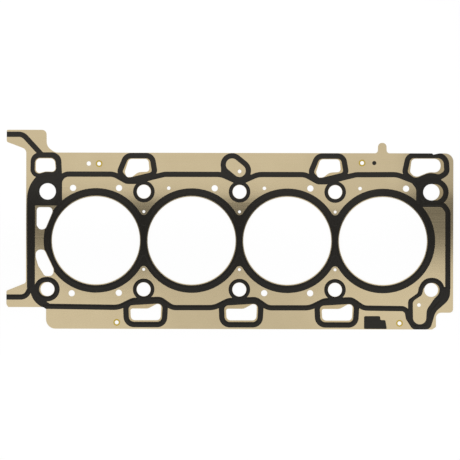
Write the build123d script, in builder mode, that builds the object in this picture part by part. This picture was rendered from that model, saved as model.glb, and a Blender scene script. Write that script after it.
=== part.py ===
from build123d import *

import os

# Cylinder row along X, with the origin midway between the two middle bores
bore_count = 4
bore_pitch = 92.0
web_width = 7.4
bore_radius = (bore_pitch - web_width) / 2

# Head bolts: one pair at every web, and one pair beyond each end bore, where the upper two are dowels
bolt_row_y = 47.0
end_bolt_gap = 4.2
bolt_hole_radius = 6.85
carrier_bolt_step = 0.2
dowel_hole_radius = 7.9
bolt_hole_stretch = 1.2
dowel_hole_stretch = 3.5

# Sheet edges, measured from the end bolts
top_margin = 37.4
bottom_margin = 38.0
left_margin = 20.7
right_margin = 21.1
ear_reach = 39.5

# Thickness of each layer, and how far the openings of the lower two step in
bead_layer_thickness = 0.25
carrier_thickness = 0.6
coat_thickness = 0.05
carrier_step = 0.6
lower_port_inset = 0.5

# Pressed beads: a flat crest between two sloping flanks
bead_height = 0.25
bead_width = 3.0
bead_inset = 1.0
bead_flank = 0.9
press_root = 0.02
flank_root = 0.01
crest_least_half_width = 0.15
bead_corner_radius = 0.8

# Bores: stopper ring under a raised lip, then the bead, inside the coat
stopper_width = 1.7
stopper_thickness = 0.1
lip_run_out = 0.04
bore_bead_tip_radius = 2.0
bore_bare_width = 0.8
bore_coat_width = 7.2
web_tip_radius = 3.6

# Printed rubber tracks
line_width = 5.1
side_line_width = 7.7
port_band = 5.25
bolt_band = 3.55
end_bolt_band = 4.9
line_reach = 16.7

# Drilled holes
coolant_hole_radius = 3.0
narrow_coolant_hole_radius = 1.7
coolant_hole_x = 22.1
coolant_hole_y = 3.4
corner_coolant_shift = (-1.1, -0.5)
web_hole_radius = 1.4
web_hole_y = 27.8
small_hole_radius = 1.75
gauge_hole_radius = 2.1

# Hollow rivets
rivet_shank_radius = 2.4
rivet_bore_radius = 1.9
rivet_flange_width = 0.8
rivet_flange_thickness = 0.2
rivet_edge_radius = 0.12
rivet_fit = 0.05

# Edge patch and index dot
patch_edge_gap = 0.4
dot_radius = 2.0

# Heights, from the lowest crest of the block side coat
block_face_z = coat_thickness + bead_height
carrier_base_z = block_face_z + bead_layer_thickness
carrier_top_z = carrier_base_z + carrier_thickness
head_face_z = carrier_top_z + bead_layer_thickness
middle_z = (block_face_z + head_face_z) / 2

# Anchor points that the outlines are measured from
bore_row = [place.position.X for place in GridLocations(bore_pitch, 0, bore_count, 1)]
web_row = [(left + right) / 2 for left, right in zip(bore_row, bore_row[1:])]
port_webs = (web_row[0], web_row[-1])
end_bolt_x = bore_row[-1] + bore_radius + end_bolt_gap
top_left = (-end_bolt_x, bolt_row_y)
top_right = (end_bolt_x, bolt_row_y)
bottom_left = (-end_bolt_x, -bolt_row_y)
bottom_right = (end_bolt_x, -bolt_row_y)
left_end = (-end_bolt_x, 0)
first_bore_top = (bore_row[0], bolt_row_y)
first_bore_bottom = (bore_row[0], -bolt_row_y)
last_bore_top = (bore_row[-1], bolt_row_y)
last_bore_bottom = (bore_row[-1], -bolt_row_y)
middle_web_top = (web_row[len(web_row) // 2], bolt_row_y)
bore_places = [(x, 0) for x in bore_row]
web_bolt_places = [(x, y) for x in web_row for y in (-bolt_row_y, bolt_row_y)]
bolt_places = [*web_bolt_places, bottom_left, bottom_right]


def about(anchor, corners):
    """Places corners, each given as x, y and radius, about an anchor point."""
    return [(anchor[0] + x, anchor[1] + y, radius) for x, y, radius in corners]


def patch(corners, grow=0.0, mode=Mode.ADD):
    """Fills a closed outline of corners, grown by a margin if one is given."""
    with BuildSketch(mode=Mode.PRIVATE) as area:
        with BuildLine():
            FilletPolyline(
                *[(x, y) for x, y, radius in corners],
                radius=[radius for x, y, radius in corners],
                close=True,
            )
        make_face()
        if grow:
            offset(amount=grow)
    add(area.sketch, mode=mode)


def band(width, corners):
    """Draws a line of one width along a route of corners."""
    points = [(x, y) for x, y, radius in corners]
    with BuildLine() as centre:
        if len(points) == 2:
            Line(*points)
        else:
            FilletPolyline(*points, radius=[radius for x, y, radius in corners[1:-1]])
    trace(centre.line, line_width=width)


# Sheet outline, clockwise from the upper left ear
sheet_corners = [
    *about(top_left, [
        (-ear_reach, 59.2, 1.2),
        (-1.2, 59.2, 4.5),
        (-1.0, 43.2, 9.0),
        (6.9, top_margin, 9.0),
    ]),
    *about(last_bore_top, [
        (-5.1, top_margin, 3.0),
        (-4.9, 47.4, 3.9),
        (3.2, 47.4, 3.9),
        (3.4, top_margin, 3.0),
    ]),
    *about(top_right, [
        (0.7, top_margin, 0.5),
        (1.7, 36.2, 0.5),
        (7.5, top_margin, 2.0),
        (right_margin, top_margin, 8.0),
    ]),
    *about(bottom_right, [
        (right_margin, -21.8, 3.5),
        (4.7, -21.8, 5.0),
        (4.7, -35.6, 1.5),
        (1.0, -bottom_margin, 1.5),
    ]),
    *about(bottom_left, [
        (-1.3, -bottom_margin, 9.0),
        (-1.3, -19.1, 1.0),
        (-4.1, -17.3, 2.0),
        (-37.8, -17.3, 0.8),
        (-ear_reach, -14.5, 1.5),
        (-ear_reach, -1.6, 1.5),
        (-left_margin, 6.0, 3.0),
    ]),
    *about(top_left, [
        (-left_margin, 40.5, 5.0),
        (-ear_reach, 47.6, 2.0),
    ]),
]

# Ports through the head side sheet
upper_left_port = about(top_left, [
    (-12.6, 17.2, 4.0),
    (-12.2, 32.3, 5.0),
    (7.2, 32.3, 5.0),
    (8.4, 18.6, 4.0),
    (-2.0, 18.8, 6.0),
    (-7.5, 17.2, 2.0),
])
upper_right_port = about(top_right, [
    (-23.0, 18.9, 3.5),
    (-15.7, 13.2, 6.0),
    (-2.0, 18.9, 14.0),
    (7.5, 17.2, 4.0),
    (12.3, 20.3, 3.0),
    (11.5, 32.8, 6.0),
    (-20.0, 32.8, 4.0),
])
upper_web_port = [
    (-15.2, 32.0, 4.5),
    (5.5, 32.0, 4.0),
    (7.8, 18.8, 2.5),
    (-15.3, 13.1, 3.5),
    (-20.7, 18.8, 3.0),
]
lower_web_port = [
    (-14.6, -15.5, 4.0),
    (18.4, -13.4, 4.5),
    (17.3, -31.2, 4.5),
    (-13.9, -31.2, 5.0),
]
ringed_ports = [
    upper_left_port,
    upper_right_port,
    *[about((x, bolt_row_y), upper_web_port) for x in port_webs],
    *[about((x, -bolt_row_y), lower_web_port) for x in web_row],
]
end_ports = [
    about(left_end, [
        (-11.0, 32.3, 3.5),
        (5.5, 32.3, 4.0),
        (5.0, 26.8, 3.0),
        (-2.0, 9.9, 5.0),
        (-8.0, 9.9, 4.0),
        (-11.0, 14.0, 3.0),
    ]),
    about(left_end, [
        (-11.8, -8.5, 5.0),
        (-2.8, -8.5, 4.5),
        (6.3, -27.8, 5.0),
        (5.9, -34.9, 4.5),
        (-3.0, -34.9, 4.0),
        (-9.5, -24.5, 8.0),
        (-11.9, -16.0, 6.0),
    ]),
]

# Ports through the block side sheet, where they differ
block_left_port = about(top_left, [
    (-11.4, 17.8, 3.5),
    (-11.3, 31.7, 4.0),
    (6.6, 31.7, 4.5),
    (7.8, 19.0, 3.5),
    (-2.0, 19.2, 6.0),
    (-7.5, 17.8, 2.0),
])
block_right_port = about(top_right, [
    (-20.6, 19.4, 3.0),
    (-15.7, 13.9, 6.0),
    (-2.0, 19.5, 14.0),
    (8.8, 18.6, 6.0),
    (8.8, 32.2, 6.0),
    (-19.0, 32.2, 4.0),
])
block_upper_web_port = [
    (-14.4, 31.4, 4.0),
    (4.2, 31.4, 3.5),
    (5.4, 19.3, 3.0),
    (-5.5, 18.7, 8.0),
    (-11.5, 14.1, 2.5),
    (-16.8, 14.0, 2.5),
    (-18.4, 19.0, 3.0),
]
block_lower_web_port = [
    (-12.7, -18.5, 2.0),
    (4.4, -18.5, 8.0),
    (12.4, -14.1, 2.5),
    (17.0, -14.1, 3.0),
    (16.3, -29.6, 4.0),
    (-12.1, -29.6, 4.0),
]
block_ports = [
    block_left_port,
    block_right_port,
    *[about((x, bolt_row_y), block_upper_web_port) for x in port_webs],
    *[about((x, -bolt_row_y), block_lower_web_port) for x in web_row],
]

# Hole centres
dowel_slot = (end_bolt_x + dowel_hole_stretch / 2, bolt_row_y)
end_bolt_slots = [(side * (end_bolt_x + bolt_hole_stretch / 2), -bolt_row_y) for side in (-1, 1)]
rivet_places = [(x, y) for x, y, radius in [
    *about(first_bore_top, [(2.9, 26.8, 0)]),
    *about(last_bore_top, [(-20.2, 28.0, 0)]),
    *about(first_bore_bottom, [(20.2, -31.8, 0)]),
    *about(last_bore_bottom, [(16.1, -32.1, 0)]),
]]
beside_bores = [x + side * coolant_hole_x for x in bore_row for side in (-1, 1)]
narrow_coolant_row = beside_bores[2::2]
wide_coolant_row = [x for x in beside_bores if x not in narrow_coolant_row]
coolant_y = bolt_row_y + coolant_hole_y
lower_coolant_row = [(x + side * coolant_hole_x, -coolant_y) for x in bore_row[::2] for side in (-1, 1)]
corner_x, corner_y = lower_coolant_row[0]
corner_coolant_hole = (corner_x + corner_coolant_shift[0], corner_y + corner_coolant_shift[1])
small_hole_places = [
    (middle_web_top[0], middle_web_top[1] + 19.65),
    (bottom_right[0] - 11.7, bottom_right[1] - 14.5),
]
gauge_hole_place = (first_bore_top[0] - 7.0, first_bore_top[1] + 26.9)
dot_place = (last_bore_top[0] - 8.5, last_bore_top[1] + 28.0)
slot_angle = -39.2
slot_length = 9.17
slot_place = (middle_web_top[0] - 3.65, middle_web_top[1] + 23.2)
slot_island_width = 12.0

# Holes of one size through all three sheets
with BuildSketch() as shared_holes:
    with Locations(*bore_places):
        Circle(bore_radius)
    with Locations(*[(x, coolant_y) for x in wide_coolant_row]):
        Circle(coolant_hole_radius)
    with Locations(corner_coolant_hole, *lower_coolant_row[1:]):
        Circle(coolant_hole_radius)
    with Locations(*[(x, coolant_y) for x in narrow_coolant_row]):
        Circle(narrow_coolant_hole_radius)
    with Locations(*[(x, y) for x in web_row for y in (-web_hole_y, web_hole_y)]):
        Circle(web_hole_radius)
    with Locations(*small_hole_places):
        Circle(small_hole_radius)
    with Locations(gauge_hole_place):
        Circle(gauge_hole_radius)
    with Locations(*rivet_places):
        Circle(rivet_shank_radius + rivet_fit)

with BuildSketch() as head_openings:
    add(shared_holes.sketch)
    for port in ringed_ports + end_ports:
        patch(port)
    with Locations(*web_bolt_places):
        Circle(bolt_hole_radius)
    with Locations(top_left):
        Circle(dowel_hole_radius)
    with Locations(dowel_slot):
        SlotCenterToCenter(dowel_hole_stretch, 2 * dowel_hole_radius)
    with Locations(*end_bolt_slots):
        SlotCenterToCenter(bolt_hole_stretch, 2 * bolt_hole_radius)

with BuildSketch() as lower_holes:
    add(shared_holes.sketch)
    with Locations(top_left, top_right):
        Circle(dowel_hole_radius)

with BuildSketch() as block_openings:
    add(lower_holes.sketch)
    with Locations(*bolt_places):
        Circle(bolt_hole_radius)
    for port in block_ports:
        patch(port)
    for port in end_ports:
        patch(port, grow=-lower_port_inset)

with BuildSketch() as carrier_openings:
    add(lower_holes.sketch)
    with Locations(*bolt_places):
        Circle(bolt_hole_radius - carrier_bolt_step)
    for port in block_ports:
        patch(port, grow=carrier_step)
    for port in end_ports:
        patch(port)

with BuildSketch() as sheet_outline:
    patch(sheet_corners)

# Routes of the sealing lines
port_dip = [
    (-29.0, line_reach, 14.0),
    (-16.5, 9.8, 6.0),
    (-7.0, 9.8, 6.0),
    (8.0, 13.8, 20.0),
    (20.0, line_reach, 16.0),
]
plain_dip = [
    (-17.5, line_reach, 18.0),
    (-4.0, 10.6, 6.0),
    (4.0, 10.6, 6.0),
    (17.5, line_reach, 18.0),
]
bottom_dip = [
    (-24.0, -17.4, 20.0),
    (-10.5, -10.6, 10.0),
    (16.0, -9.5, 8.0),
    (27.5, -17.5, 12.0),
]
top_line = about(top_left, [(11.3, -11.0, 0), (11.3, line_reach, 9.0)])
for web_x in web_row:
    top_line += about((web_x, bolt_row_y), port_dip if web_x in port_webs else plain_dip)
top_line += about(top_right, [
    (-33.0, 16.9, 20.0),
    (-17.0, 10.7, 6.0),
    (-12.1, 4.0, 8.0),
    (-12.1, -11.0, 0),
])
bottom_line = about(bottom_left, [(-5.5, -16.4, 0)])
for web_x in web_row:
    bottom_line += about((web_x, -bolt_row_y), bottom_dip)
bottom_line += about(bottom_right, [(-23.5, -18.0, 6.0), (-21.6, -28.0, 0)])
right_line = [
    *about(top_right, [(-8.5, -11.6, 0), (11.0, -11.6, 6.0), (16.0, -18.0, 8.0)]),
    *about(bottom_right, [(16.0, 1.0, 0)]),
]
left_line = [*about(top_left, [(-15.95, -7.0, 0)]), *about(bottom_left, [(-15.95, 1.0, 0)])]
upper_ear_line = about(top_left, [(-ear_reach - 2.0, 54.85, 0), (-23.9, 54.85, 9.0), (-3.5, 32.7, 0)])
lower_ear_line = about(bottom_left, [(-ear_reach - 2.0, -7.65, 0), (-21.0, -7.65, 8.0), (-15.5, 3.0, 0)])
thin_lines = [top_line, bottom_line, right_line, upper_ear_line, lower_ear_line]

# Solid areas that the lines run into
pads = [
    about(top_left, [(-19.8, -13.6, 0), (-19.8, 23.0, 30.0), (12.1, 23.0, 0), (12.1, -13.6, 0)]),
    about(top_left, [
        (-16.7, 18.2, 5.0),
        (-16.4, 37.6, 9.0),
        (12.7, 37.6, 9.0),
        (13.8, 15.0, 0),
        (-9.0, 12.5, 0),
    ]),
    about(top_right, [
        (-13.5, -13.9, 0),
        (-13.5, 15.0, 0),
        (9.6, 15.0, 0),
        (9.6, 10.0, 0),
        (5.5, 3.0, 0),
        (5.5, -13.9, 0),
    ]),
    about(bottom_left, [
        (-16.7, 6.3, 0),
        (-16.6, -19.1, 20.0),
        (4.5, -19.1, 0),
        (3.0, -14.5, 0),
        (-0.6, -12.2, 0),
        (0, -0.3, 0),
    ]),
    about(middle_web_top, [
        (-17.9, 26.1, 0),
        (-17.9, 14.5, 0),
        (10.6, 14.5, 0),
        (10.6, 20.3, 0),
        (0, 20.0, 0),
    ]),
    about(bottom_right, [
        (-11.9, 3.0, 0),
        (-12.9, -3.0, 4.0),
        (-22.2, -9.5, 5.0),
        (-22.2, -18.0, 0),
        (-24.2, -28.0, 2.0),
        (-17.8, -bottom_margin, 5.0),
        (-0.8, -bottom_margin, 6.0),
        (4.2, -21.0, 12.0),
        (18.3, -8.7, 14.0),
        (18.3, 3.0, 0),
    ]),
]
loop_island = about(bottom_right, [
    (-7.2, 2.0, 0),
    (-8.9, -5.0, 5.0),
    (-17.6, -10.8, 5.0),
    (-17.3, -33.0, 6.4),
    (-4.9, -33.0, 6.0),
    (-4.3, -19.0, 10.0),
    (3.0, -8.3, 4.0),
    (7.3, -4.0, 5.0),
    (7.8, 2.0, 0),
])
loop_line = about(bottom_right, [
    (-9.6, 3.0, 0),
    (-10.9, -4.0, 4.5),
    (-20.2, -10.2, 5.0),
    (-20.3, -35.5, 6.2),
    (-2.8, -35.5, 6.0),
    (0.6, -20.3, 8.0),
    (12.8, -7.0, 8.0),
    (13.0, 2.5, 0),
])

# Rubber printed round the bores, the ports and the bolt holes, and along the lines
with BuildSketch() as bore_band:
    with Locations(*bore_places):
        Circle(bore_radius + bore_bare_width + bore_coat_width)
    fillet(bore_band.vertices(), radius=web_tip_radius)

with BuildSketch() as coat_track:
    add(bore_band.sketch)
    for route in thin_lines:
        band(line_width, route)
    band(side_line_width, left_line)
    for area in pads:
        patch(area)
    for port in ringed_ports[1:]:
        patch(port, grow=port_band)
    with Locations(slot_place):
        SlotCenterToCenter(slot_length, slot_island_width + 2 * line_width, rotation=slot_angle)
    with Locations(*web_bolt_places):
        Circle(bolt_hole_radius + bolt_band)
    with Locations(*end_bolt_slots):
        SlotCenterToCenter(bolt_hole_stretch, 2 * (bolt_hole_radius + end_bolt_band))
    with Locations(dowel_slot):
        SlotCenterToCenter(dowel_hole_stretch, 2 * (dowel_hole_radius + port_band))
    with Locations(slot_place):
        SlotCenterToCenter(slot_length, slot_island_width, rotation=slot_angle, mode=Mode.SUBTRACT)
    patch(loop_island, mode=Mode.SUBTRACT)
    add(head_openings.sketch, mode=Mode.SUBTRACT)
    with Locations(*bore_places):
        Circle(bore_radius + bore_bare_width, mode=Mode.SUBTRACT)
    add(sheet_outline.sketch, mode=Mode.INTERSECT)

# Beads, which lie under the middle of the rubber
with BuildSketch() as bore_beads:
    with Locations(*bore_places):
        Circle(bore_radius + stopper_width + bead_width)
    fillet(bore_beads.vertices(), radius=bore_bead_tip_radius)
    with Locations(*bore_places):
        Circle(bore_radius + stopper_width, mode=Mode.SUBTRACT)

bolt_bead_inset = (bolt_band - bead_width) / 2
end_bolt_bead_inset = (end_bolt_band - bead_width) / 2
slot_bead_width = slot_island_width + 2 * (bead_inset + bead_width)
end_bolt_clear_width = 2 * (bolt_hole_radius + end_bolt_bead_inset)
with BuildSketch() as line_beads:
    for route in [*thin_lines, left_line, loop_line]:
        band(bead_width, route)
    for port in ringed_ports:
        patch(port, grow=bead_inset + bead_width)
    with Locations(slot_place):
        SlotCenterToCenter(slot_length, slot_bead_width, rotation=slot_angle)
    with Locations(*web_bolt_places):
        Circle(bolt_hole_radius + bolt_bead_inset + bead_width)
    with Locations(*end_bolt_slots):
        SlotCenterToCenter(bolt_hole_stretch, end_bolt_clear_width + 2 * bead_width)
    with Locations(top_left):
        Circle(dowel_hole_radius + bead_inset + bead_width)
    with Locations(dowel_slot):
        SlotCenterToCenter(dowel_hole_stretch, 2 * (dowel_hole_radius + bead_inset + bead_width))
    for port in ringed_ports:
        patch(port, grow=bead_inset, mode=Mode.SUBTRACT)
    patch(loop_island, grow=bead_inset, mode=Mode.SUBTRACT)
    with Locations(slot_place):
        SlotCenterToCenter(
            slot_length,
            slot_bead_width - 2 * bead_width,
            rotation=slot_angle,
            mode=Mode.SUBTRACT,
        )
    with Locations(*web_bolt_places):
        Circle(bolt_hole_radius + bolt_bead_inset, mode=Mode.SUBTRACT)
    with Locations(*end_bolt_slots):
        SlotCenterToCenter(bolt_hole_stretch, end_bolt_clear_width, mode=Mode.SUBTRACT)
    with Locations(top_left):
        Circle(dowel_hole_radius + bead_inset, mode=Mode.SUBTRACT)
    with Locations(dowel_slot):
        SlotCenterToCenter(dowel_hole_stretch, 2 * (dowel_hole_radius + bead_inset), mode=Mode.SUBTRACT)
    add(sheet_outline.sketch, mode=Mode.INTERSECT)

# Rounds the inner corners of the beads, then drops what is too narrow for two flanks
crest_margin = bead_flank + crest_least_half_width
with BuildSketch() as widened_beads:
    add(line_beads.sketch)
    offset(amount=bead_corner_radius)
with BuildSketch() as narrowed_beads:
    add(widened_beads.sketch)
    offset(amount=-bead_corner_radius - crest_margin)
with BuildSketch() as smooth_beads:
    add(narrowed_beads.sketch)
    offset(amount=crest_margin)

# Relief of the beads above the head side face
bead_ridges = []
for outline in [*bore_beads.faces(), *smooth_beads.faces()]:
    with BuildPart() as ridge:
        with BuildSketch(Plane.XY.offset(head_face_z - press_root)):
            add(outline)
        extrude(amount=press_root + bead_height)
        crest = ridge.faces().sort_by(Axis.Z)[-1]
        chamfer(crest.edges(), length=bead_flank, length2=bead_height + flank_root, reference=crest)
    bead_ridges.append(ridge.part)

with BuildPart() as bead_relief:
    add(bead_ridges)

with BuildPart() as head_relief:
    add(bead_relief.part)
    with BuildSketch(Plane.XY.offset(head_face_z - press_root)):
        with Locations(*bore_places):
            Circle(bore_radius + stopper_width + bead_flank * stopper_thickness / bead_height + lip_run_out)
            Circle(bore_radius, mode=Mode.SUBTRACT)
    extrude(amount=press_root + stopper_thickness)

with BuildPart() as block_relief:
    mirror(bead_relief.part, about=Plane.XY.offset(middle_z))

os.makedirs("parts", exist_ok=True)

# Head side bead layer: spring steel sheet with its beads and bore lips pressed upwards
with BuildPart() as head_sheet:
    with BuildSketch(Plane.XY.offset(carrier_top_z)):
        add(sheet_outline.sketch)
        add(head_openings.sketch, mode=Mode.SUBTRACT)
    extrude(amount=bead_layer_thickness)
    add(head_relief.part)
    with Locations((0, 0, -bead_layer_thickness)):
        add(head_relief.part, mode=Mode.SUBTRACT)
head_sheet.part.label = "head_side_bead_layer"
export_step(head_sheet.part, "parts/head_side_bead_layer.step")

# Carrier plate: flat steel between the two bead layers
with BuildPart() as carrier:
    with BuildSketch(Plane.XY.offset(carrier_base_z)):
        add(sheet_outline.sketch)
        add(carrier_openings.sketch, mode=Mode.SUBTRACT)
    extrude(amount=carrier_thickness)
carrier.part.label = "carrier_plate"
export_step(carrier.part, "parts/carrier_plate.step")

# Block side bead layer: spring steel sheet with its beads pressed downwards
with BuildPart() as block_sheet:
    with BuildSketch(Plane.XY.offset(block_face_z)):
        add(sheet_outline.sketch)
        add(block_openings.sketch, mode=Mode.SUBTRACT)
    extrude(amount=bead_layer_thickness)
    add(block_relief.part)
    with Locations((0, 0, bead_layer_thickness)):
        add(block_relief.part, mode=Mode.SUBTRACT)
block_sheet.part.label = "block_side_bead_layer"
export_step(block_sheet.part, "parts/block_side_bead_layer.step")

# Bore stopper rings: shims on the carrier plate, under the lips
for number, (x, y) in enumerate(bore_places, start=1):
    with BuildPart() as stopper_ring:
        with BuildSketch(Plane.XY.offset(carrier_top_z)):
            with Locations((x, y)):
                Circle(bore_radius + stopper_width)
                Circle(bore_radius, mode=Mode.SUBTRACT)
        extrude(amount=stopper_thickness)
    stopper_ring.part.label = f"bore_stopper_ring_{number}"
    export_step(stopper_ring.part, f"parts/bore_stopper_ring_{number}.step")

# Rivets: hollow, with a rolled flange on each face
rivet_flange_radius = rivet_shank_radius + rivet_flange_width
for number, (x, y) in enumerate(rivet_places, start=1):
    with BuildPart() as rivet:
        with BuildSketch(Plane(origin=(x, y, 0), x_dir=(1, 0, 0), z_dir=(0, -1, 0))) as section:
            with BuildLine():
                Polyline(
                    (rivet_bore_radius, block_face_z - rivet_flange_thickness),
                    (rivet_flange_radius, block_face_z - rivet_flange_thickness),
                    (rivet_flange_radius, block_face_z),
                    (rivet_shank_radius, block_face_z),
                    (rivet_shank_radius, head_face_z),
                    (rivet_flange_radius, head_face_z),
                    (rivet_flange_radius, head_face_z + rivet_flange_thickness),
                    (rivet_bore_radius, head_face_z + rivet_flange_thickness),
                    close=True,
                )
            make_face()
            levels = section.vertices().group_by(Axis.Y)
            fillet(levels[0] + levels[-1], radius=rivet_edge_radius)
        revolve(axis=Axis((x, y, 0), (0, 0, 1)))
    rivet.part.label = f"rivet_{number}"
    export_step(rivet.part, f"parts/rivet_{number}.step")

# Head side coat: rubber that follows the face and the beads
with BuildPart() as head_coat:
    with BuildSketch(Plane.XY.offset(head_face_z)):
        add(coat_track.sketch)
    extrude(amount=coat_thickness)
    with Locations((0, 0, coat_thickness)):
        add(head_relief.part)
    add(head_relief.part, mode=Mode.SUBTRACT)
    with BuildSketch(Plane.XY.offset(head_face_z)):
        with Locations(*bore_places):
            Circle(bore_radius + bore_bare_width)
    extrude(amount=bead_height + coat_thickness, mode=Mode.SUBTRACT)
head_coat.part.label = "head_side_seal_coat"
export_step(head_coat.part, "parts/head_side_seal_coat.step")

# Block side coat: the same rubber on the other face
with BuildPart() as block_coat:
    with BuildSketch(Plane.XY.offset(block_face_z - coat_thickness)):
        add(coat_track.sketch)
    extrude(amount=coat_thickness)
    with Locations((0, 0, -coat_thickness)):
        add(block_relief.part)
    add(block_relief.part, mode=Mode.SUBTRACT)
block_coat.part.label = "block_side_seal_coat"
export_step(block_coat.part, "parts/block_side_seal_coat.step")

# Edge patch: a separate print at the lower edge
with BuildSketch() as edge_patch_shape:
    patch(about(last_bore_bottom, [
        (-18.0, patch_edge_gap - bottom_margin, 1.0),
        (-18.0, -25.2, 1.5),
        (-2.5, -25.2, 1.5),
        (-2.2, -29.0, 1.0),
        (2.5, -29.0, 1.5),
        (4.0, patch_edge_gap - bottom_margin, 1.0),
    ]))
with BuildPart() as edge_patch:
    with BuildSketch(Plane.XY.offset(head_face_z)):
        add(edge_patch_shape.sketch)
    extrude(amount=coat_thickness)
edge_patch.part.label = "edge_patch"
export_step(edge_patch.part, "parts/edge_patch.step")

# Index dot: a small print near the upper edge
with BuildPart() as index_dot:
    with BuildSketch(Plane.XY.offset(head_face_z)):
        with Locations(dot_place):
            Circle(dot_radius)
    extrude(amount=coat_thickness)
index_dot.part.label = "index_dot"
export_step(index_dot.part, "parts/index_dot.step")
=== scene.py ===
import math
import bpy
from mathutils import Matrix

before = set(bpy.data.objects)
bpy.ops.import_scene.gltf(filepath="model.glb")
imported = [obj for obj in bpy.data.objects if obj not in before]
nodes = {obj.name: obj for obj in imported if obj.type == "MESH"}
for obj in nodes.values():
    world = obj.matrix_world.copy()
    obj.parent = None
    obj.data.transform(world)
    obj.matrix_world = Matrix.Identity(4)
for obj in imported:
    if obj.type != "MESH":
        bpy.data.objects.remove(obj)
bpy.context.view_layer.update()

MM = 0.001

# Camera: the photograph looks straight down on the gasket, with no perspective to see.
# It frames 442 mm of width, and is turned by a seventh of a degree.
picture_width = 442.4 * MM
camera_place = (-9.09 * MM, 10.27 * MM, 1.2)
camera_turn = math.radians(0.134)
camera_data = bpy.data.cameras.new("camera")
camera_data.type = "ORTHO"
camera_data.ortho_scale = picture_width
camera_data.clip_start = 1 * MM
camera_data.clip_end = 10.0
camera = bpy.data.objects.new("camera", camera_data)
camera.location = camera_place
camera.rotation_euler = (0, 0, camera_turn)
bpy.context.collection.objects.link(camera)
bpy.context.scene.camera = camera

# Carrier plate and stopper rings: cold rolled low carbon steel, blanked flat, hidden but for
# their cut edges in the ports and bores. The plate is left with its mill finish, a dull tan.


def add_node(tree, kind, settings, inputs):
    """Adds a node. Each input takes a value, or is linked from another node's output socket."""
    made = tree.nodes.new("ShaderNode" + kind)
    for name, value in settings.items():
        setattr(made, name, value)
    for name, value in inputs.items():
        if isinstance(value, bpy.types.NodeSocket):
            tree.links.new(value, made.inputs[name])
        else:
            made.inputs[name].default_value = value
    return made


def linear(hex_colour):
    """Turns an sRGB hex colour into the linear colour that a shader takes."""
    channels = [int(hex_colour[i:i + 2], 16) / 255 for i in (0, 2, 4)]
    return [c / 12.92 if c <= 0.04045 else ((c + 0.055) / 1.055) ** 2.4 for c in channels] + [1.0]


def new_material(name):
    """Makes a material, and returns it with its node tree, its shader and its place on the piece."""
    material = bpy.data.materials.new(name)
    material.use_nodes = True
    tree = material.node_tree
    place = add_node(tree, "TexCoord", {}, {})
    return material, tree, tree.nodes["Principled BSDF"], place.outputs["Object"]


def blotches(tree, place, size_mm, detail, roughness=0.5):
    """Noise with spots of about the given size."""
    return add_node(tree, "TexNoise", {}, {
        "Vector": place, "Scale": 1 / (size_mm * MM), "Detail": detail, "Roughness": roughness,
    }).outputs["Fac"]


def tint(tree, shader, factor, low, high):
    """Colours the shader between two hex colours."""
    first, second, result = 6, 7, 2  # the colour sockets of a mix node share their names with others
    colour = add_node(tree, "Mix", {"data_type": "RGBA"}, {
        "Factor": factor, first: linear(low), second: linear(high),
    })
    tree.links.new(colour.outputs[result], shader.inputs["Base Color"])


def roughen(tree, shader, noise, low, high):
    """Spreads the roughness over the part of its range that a noise mostly fills."""
    noise_low, noise_high = 0.3, 0.7
    spread = add_node(tree, "MapRange", {}, {
        "Value": noise, "From Min": noise_low, "From Max": noise_high, "To Min": low, "To Max": high,
    })
    tree.links.new(spread.outputs["Result"], shader.inputs["Roughness"])


def emboss(tree, shader, noise, height_mm):
    """Raises the surface by a noise."""
    bump = add_node(tree, "Bump", {}, {"Height": noise, "Distance": height_mm * MM, "Strength": 1.0})
    tree.links.new(bump.outputs["Normal"], shader.inputs["Normal"])


def rolled_steel(name, pale, deep, roughness, line_mm, cloud_mm, line_height_mm):
    """Rolled sheet steel: fine lines along X from the rolls, and a faint cloudiness in the finish."""
    line_length = 60
    line_share = 0.45
    cloud_share = 0.5
    roughness_spread = 0.15
    material, tree, shader, place = new_material(name)
    shader.inputs["Metallic"].default_value = 1.0
    across = 1 / (line_mm * MM)
    stretch = add_node(tree, "Mapping", {}, {
        "Vector": place, "Scale": (across / line_length, across, across),
    })
    lines = add_node(tree, "TexNoise", {}, {
        "Vector": stretch.outputs["Vector"], "Scale": 1.0, "Detail": 4.0, "Roughness": 0.6,
    }).outputs["Fac"]
    cloud = blotches(tree, place, cloud_mm, detail=3.0)
    blend = add_node(tree, "Math", {"operation": "MULTIPLY_ADD"}, {
        0: lines, 1: line_share, 2: (1 - line_share - cloud_share) / 2,
    })
    blend = add_node(tree, "Math", {"operation": "MULTIPLY_ADD"}, {
        0: cloud, 1: cloud_share, 2: blend.outputs["Value"],
    })
    tint(tree, shader, blend.outputs["Value"], deep, pale)
    roughen(tree, shader, lines, roughness * (1 - roughness_spread), roughness * (1 + roughness_spread))
    emboss(tree, shader, lines, line_height_mm)
    return material


def dress(node, material):
    """Gives a CAD node its material."""
    slots = nodes[node].data.materials
    slots.clear()
    slots.append(material)


carrier_steel = rolled_steel(
    "cold_rolled_steel_mill_finish", pale="DDC9A0", deep="C8B48A",
    roughness=0.38, line_mm=1.2, cloud_mm=14, line_height_mm=0.002,
)
dress("carrier_plate", carrier_steel)
for number in range(1, 5):
    dress(f"bore_stopper_ring_{number}", carrier_steel)

# Bead layers: full hard stainless spring steel, 0.25 mm thick, pressed and then dipped in a thin
# adhesive primer that dries to a clear tan lacquer. It mutes the mirror of the rolled face.
spring_steel = rolled_steel(
    "spring_steel_tan_primer", pale="DBCAA5", deep="CCBA95",
    roughness=0.27, line_mm=1.6, cloud_mm=18, line_height_mm=0.001,
)
dress("head_side_bead_layer", spring_steel)
dress("block_side_bead_layer", spring_steel)

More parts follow.
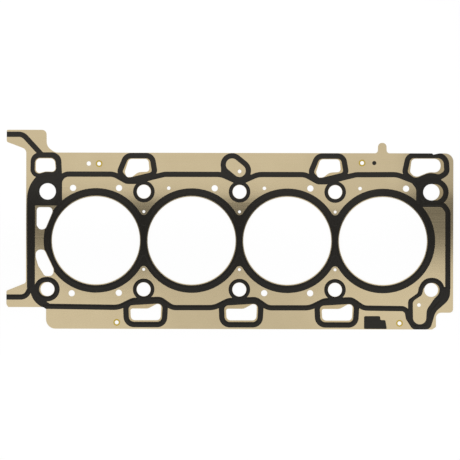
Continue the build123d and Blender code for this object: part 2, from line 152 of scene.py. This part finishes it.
# Seal coats, edge patch and index dot: nitrile rubber, screen printed black over the beads in a
# film and cured. The mesh of the screen leaves it satin, not glossy, with a faint even tooth.
tooth_mm = 0.9
patch_mm = 22
rubber, tree, shader, place = new_material("screen_printed_nitrile_rubber")
shader.inputs["IOR"].default_value = 1.52
shader.inputs["Specular IOR Level"].default_value = 0.3
tooth = blotches(tree, place, tooth_mm, detail=2.0, roughness=0.7)
tint(tree, shader, blotches(tree, place, patch_mm, detail=3.0), "1A1610", "242017")
roughen(tree, shader, tooth, 0.36, 0.5)
emboss(tree, shader, tooth, height_mm=0.004)
for name in ("head_side_seal_coat", "block_side_seal_coat", "edge_patch", "index_dot"):
    dress(name, rubber)

# Rivets: brass tube, pushed through the three sheets and rolled over at both ends.
# The rolling leaves it bright, with small marks of wear on the flange.
wear_mm = 0.8
brass, tree, shader, place = new_material("rolled_brass")
shader.inputs["Metallic"].default_value = 1.0
wear = blotches(tree, place, wear_mm, detail=3.0)
tint(tree, shader, wear, "AC8A1E", "DBC45A")
roughen(tree, shader, wear, 0.2, 0.34)
for number in range(1, 5):
    dress(f"rivet_{number}", brass)

# Studio: a white table under the gasket, and a row of soft boxes over it on each side of the
# camera. The gap between the rows is the dim band that the sheet mirrors across its middle.
reach = 2.5
glow_share = 0.8
glow_strength = 1.1
floor_mesh = bpy.data.meshes.new("floor")
corners = [(-reach, -reach, 0), (reach, -reach, 0), (reach, reach, 0), (-reach, reach, 0)]
floor_mesh.from_pydata(corners, [], [(0, 1, 2, 3)])
floor = bpy.data.objects.new("floor", floor_mesh)
bpy.context.collection.objects.link(floor)
table = bpy.data.materials.new("white_table")
table.use_nodes = True
tree = table.node_tree
shader = tree.nodes["Principled BSDF"]
shader.inputs["Base Color"].default_value = linear("F4F4F4")
shader.inputs["Roughness"].default_value = 0.8
ray = add_node(tree, "LightPath", {}, {})
seen = add_node(tree, "Math", {"operation": "MAXIMUM"}, {
    0: ray.outputs["Is Camera Ray"],
    1: add_node(tree, "Math", {"operation": "MAXIMUM"}, {
        0: ray.outputs["Is Glossy Ray"], 1: ray.outputs["Is Transmission Ray"],
    }).outputs["Value"],
})
share = add_node(tree, "Math", {"operation": "MULTIPLY"}, {0: seen.outputs["Value"], 1: glow_share})
glow = add_node(tree, "Emission", {}, {"Color": (1, 1, 1, 1), "Strength": glow_strength})
mixed = add_node(tree, "MixShader", {}, {
    0: share.outputs["Value"], 1: shader.outputs["BSDF"], 2: glow.outputs["Emission"],
})
tree.links.new(mixed.outputs["Shader"], tree.nodes["Material Output"].inputs["Surface"])
floor_mesh.materials.append(table)

room_light = 0.2
world = bpy.data.worlds.new("studio")
bpy.context.scene.world = world
world.use_nodes = True
tree = world.node_tree
ray = add_node(tree, "LightPath", {}, {})
level = add_node(tree, "MapRange", {}, {
    "Value": ray.outputs["Is Camera Ray"], "To Min": room_light, "To Max": 1.0,
})
backdrop = tree.nodes["Background"]
backdrop.inputs["Color"].default_value = (1, 1, 1, 1)
tree.links.new(level.outputs["Result"], backdrop.inputs["Strength"])


def soft_box(name, x, y, height, width, depth, radiance):
    """Hangs a soft box over the table, facing down. Its radiance of 1 lights a mirror to white."""
    lamp = bpy.data.lights.new(name, "AREA")
    lamp.shape = "RECTANGLE"
    lamp.size = width
    lamp.size_y = depth
    lamp.energy = radiance * math.pi * width * depth
    box = bpy.data.objects.new(name, lamp)
    box.location = (x, y, height)
    box.visible_camera = False
    bpy.context.collection.objects.link(box)


box_depth = 340 * MM
far_height = 60 * MM
near_height = 150 * MM
# Each box has its left and right ends and its inner edge in mm, and reaches back (1) or forward (-1).
for name, left, right, edge, way, height, radiance in (
    ("soft_box_far_left", -450, 60, 40, 1, far_height, 0.69),
    ("soft_box_far_middle", 60, 130, 26, 1, far_height, 0.64),
    ("soft_box_far_gap", 130, 160, 40, 1, far_height, 0.66),
    ("soft_box_far_right", 160, 450, 45, 1, far_height, 0.42),
    ("soft_box_near_left", -450, -160, -14, -1, near_height, 0.75),
    ("soft_box_near_mid_left", -160, -75, -30, -1, near_height, 0.75),
    ("soft_box_near_middle", -75, 75, -14, -1, near_height, 0.62),
    ("soft_box_near_right", 75, 450, -12, -1, near_height, 0.76),
):
    x = (left + right) / 2 * MM
    y = edge * MM + way * box_depth / 2
    soft_box(name, x, y, height, (right - left) * MM, box_depth, radiance)

bpy.context.scene.view_settings.view_transform = "Standard"
